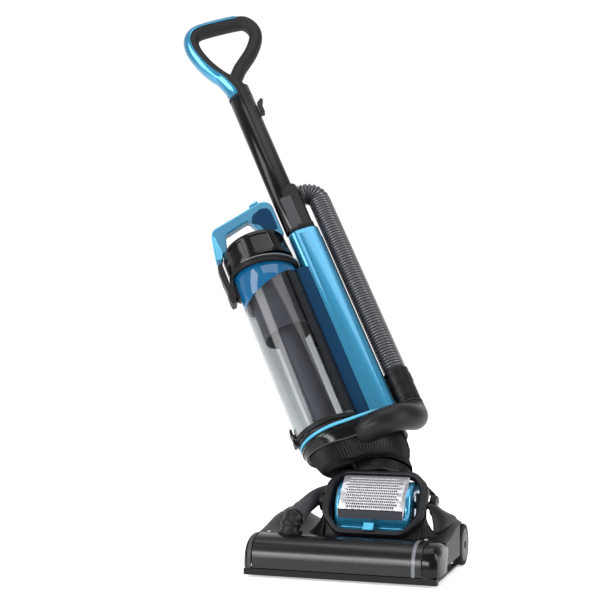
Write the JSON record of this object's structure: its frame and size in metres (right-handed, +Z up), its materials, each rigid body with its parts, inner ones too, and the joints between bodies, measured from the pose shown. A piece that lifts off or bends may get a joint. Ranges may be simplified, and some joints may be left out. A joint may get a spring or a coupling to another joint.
{
  "type": "upright vacuum cleaner",
  "caption": "Upright vacuum cleaner with a swivel neck, lift-off clear dust bin, stretch hose and loop handle, parked upright.",
  "frame": {"origin": "centre of the whole machine's box at floor level, in the parked pose", "axes": "+Z up, -Y towards the front of the floor head, +X along the head to the right seen from the front"},
  "size_m": [0.5936, 0.5248, 0.9639],
  "materials": {
    "gloss_black": "high gloss",
    "matt_black": "satin",
    "dark_grey": "satin",
    "metallic_blue": "metallic gloss",
    "light_blue": "satin",
    "silver": "satin silver",
    "clear_smoke": "clear",
    "clear_blue": "clear",
    "hose_grey": "ribbed",
    "rubber": "matt",
    "steel": "machined",
    "filter_white": "pleated"
  },
  "bodies": {
    "head": {"nose_cover": "gloss_black", "end_cap_left": "gloss_black", "end_cap_right": "gloss_black", "top_cover": "matt_black", "sole_plate": "matt_black", "brush_bearing_left": "steel", "brush_bearing_right": "steel", "drive_belt": "rubber", "motor_can": "steel", "stator": "steel", "motor_housing": "metallic_blue", "exhaust_filter": "filter_white", "pod_surround": "matt_black", "duct_elbow": "matt_black", "duct_hose": "hose_grey"},
    "brush_roll": {"brush_core": "matt_black", "brush_axle": "steel", "brush_pulley": "steel"},
    "rotor": {"armature": "steel", "fan_impeller": "dark_grey"},
    "filter_cover": {"filter_cover": "silver"},
    "cover_tab": {"cover_tab": "light_blue"},
    "wheel_left": {"rear_wheel_left": "matt_black"},
    "wheel_right": {"rear_wheel_right": "matt_black"},
    "roller_left": {"front_roller_left": "matt_black"},
    "roller_right": {"front_roller_right": "matt_black"},
    "pedal": {"release_pedal": "light_blue"},
    "yoke": {"yoke_frame_arms": "matt_black", "swivel_bearing": "steel"},
    "upright": {"base_dish": "gloss_black", "base_deck": "gloss_black", "accent_ring": "light_blue", "swivel_collar": "matt_black", "spine_shell": "metallic_blue", "spine_back_cover": "matt_black", "riser_duct": "dark_grey", "spine_cap": "matt_black", "tube_front": "gloss_black", "tube_back": "dark_grey", "handle_core": "matt_black", "handle_shell": "metallic_blue", "stretch_hose": "hose_grey", "hose_cuff": "gloss_black", "hose_elbow": "matt_black", "cord_gland": "rubber"},
    "cord_hook": {"cord_hook_upper": "matt_black"},
    "power_switch": {"power_switch": "light_blue"},
    "dust_bin": {"bin_cup": "clear_smoke", "bin_upper_band": "clear_blue", "cyclone_shroud": "dark_grey", "cyclone_tube": "dark_grey", "bin_filter": "filter_white", "bin_door": "matt_black", "door_seal": "rubber", "bin_collar": "gloss_black"},
    "bin_lid": {"bin_lid": "gloss_black", "bin_handle": "metallic_blue"},
    "bin_button": {"bin_release_button": "light_blue"},
    "lid_latch": {"lid_latch": "matt_black"},
    "door_latch": {"door_latch": "matt_black"}
  },
  "joints": [
    {"name": "brush_spin", "type": "hinge", "parent": "head", "child": "brush_roll", "pos_m": [0.1438, -0.22342, 0.031], "axis": [1, 0, 0], "continuous": true},
    {"name": "rotor_spin", "type": "hinge", "parent": "head", "child": "rotor", "pos_m": [0.1738, -0.13142, 0.05], "axis": [1, 0, 0], "continuous": true},
    {"name": "filter_cover_lift_off", "type": "slide", "parent": "head", "child": "filter_cover", "axis": [0, -0.788, 0.6157], "range_m": [0, 0.03]},
    {"name": "cover_tab_press", "type": "slide", "parent": "head", "child": "cover_tab", "axis": [0, 0.788, -0.6157], "range_m": [0, 0.0025], "stiffness_N_per_m": 600, "springref_m": -0.002},
    {"name": "wheel_left_spin", "type": "hinge", "parent": "head", "child": "wheel_left", "pos_m": [0.0008, -0.06342, 0.033], "axis": [1, 0, 0], "continuous": true},
    {"name": "wheel_right_spin", "type": "hinge", "parent": "head", "child": "wheel_right", "pos_m": [0.2868, -0.06342, 0.033], "axis": [1, 0, 0], "continuous": true},
    {"name": "roller_left_spin", "type": "hinge", "parent": "head", "child": "roller_left", "pos_m": [0.0388, -0.17942, 0.008], "axis": [1, 0, 0], "continuous": true},
    {"name": "roller_right_spin", "type": "hinge", "parent": "head", "child": "roller_right", "pos_m": [0.2488, -0.17942, 0.008], "axis": [1, 0, 0], "continuous": true},
    {"name": "pedal_press", "type": "hinge", "parent": "head", "child": "pedal", "pos_m": [0.0558, -0.05342, 0.034], "axis": [-1, 0, 0], "range_deg": [0, 12], "stiffness_Nm_per_rad": 0.6, "springref_deg": -5.73},
    {"name": "recline", "type": "hinge", "parent": "head", "child": "yoke", "pos_m": [0.1708, -0.12702, 0.1015], "axis": [-1, 0, 0], "range_deg": [0, 55], "deforming": ["duct_hose"]},
    {"name": "swivel", "type": "hinge", "parent": "yoke", "child": "upright", "pos_m": [0.1708, -0.09702, 0.15346], "axis": [0, 0.5, 0.866], "range_deg": [0, 150]},
    {"name": "cord_hook_turn", "type": "hinge", "parent": "upright", "child": "cord_hook", "pos_m": [-0.1275, 0.16492, 0.76702], "axis": [0.8448, 0.4384, 0.3067], "range_deg": [0, 180]},
    {"name": "switch_rock", "type": "hinge", "parent": "upright", "child": "power_switch", "pos_m": [-0.02528, 0.10266, 0.55161], "axis": [0.8448, 0.4384, 0.3067], "range_deg": [-6, 6]},
    {"name": "bin_lift_off", "type": "slide", "parent": "upright", "child": "dust_bin", "axis": [-0.8448, -0.4384, -0.3067], "range_m": [0, 0.17]},
    {"name": "lid_lift", "type": "slide", "parent": "dust_bin", "child": "bin_lid", "axis": [-0.4683, 0.3286, 0.8202], "range_m": [0, 0.08]},
    {"name": "bin_button_press", "type": "slide", "parent": "bin_lid", "child": "bin_button", "axis": [0.4683, -0.3286, -0.8202], "range_m": [0, 0.0022], "stiffness_N_per_m": 500, "springref_m": -0.002},
    {"name": "lid_latch_swing", "type": "hinge", "parent": "dust_bin", "child": "lid_latch", "pos_m": [-0.13973, -0.01008, 0.47047], "axis": [-0.2588, 0.8365, -0.483], "range_deg": [0, 30]},
    {"name": "door_latch_swing", "type": "hinge", "parent": "dust_bin", "child": "door_latch", "pos_m": [0.02147, -0.11392, 0.20421], "axis": [-0.2588, 0.8365, -0.483], "range_deg": [0, 18]}
  ],
  "couplings": [
    {"joint": "brush_spin", "follows": "rotor_spin", "ratio": 0.4167}
  ]
}
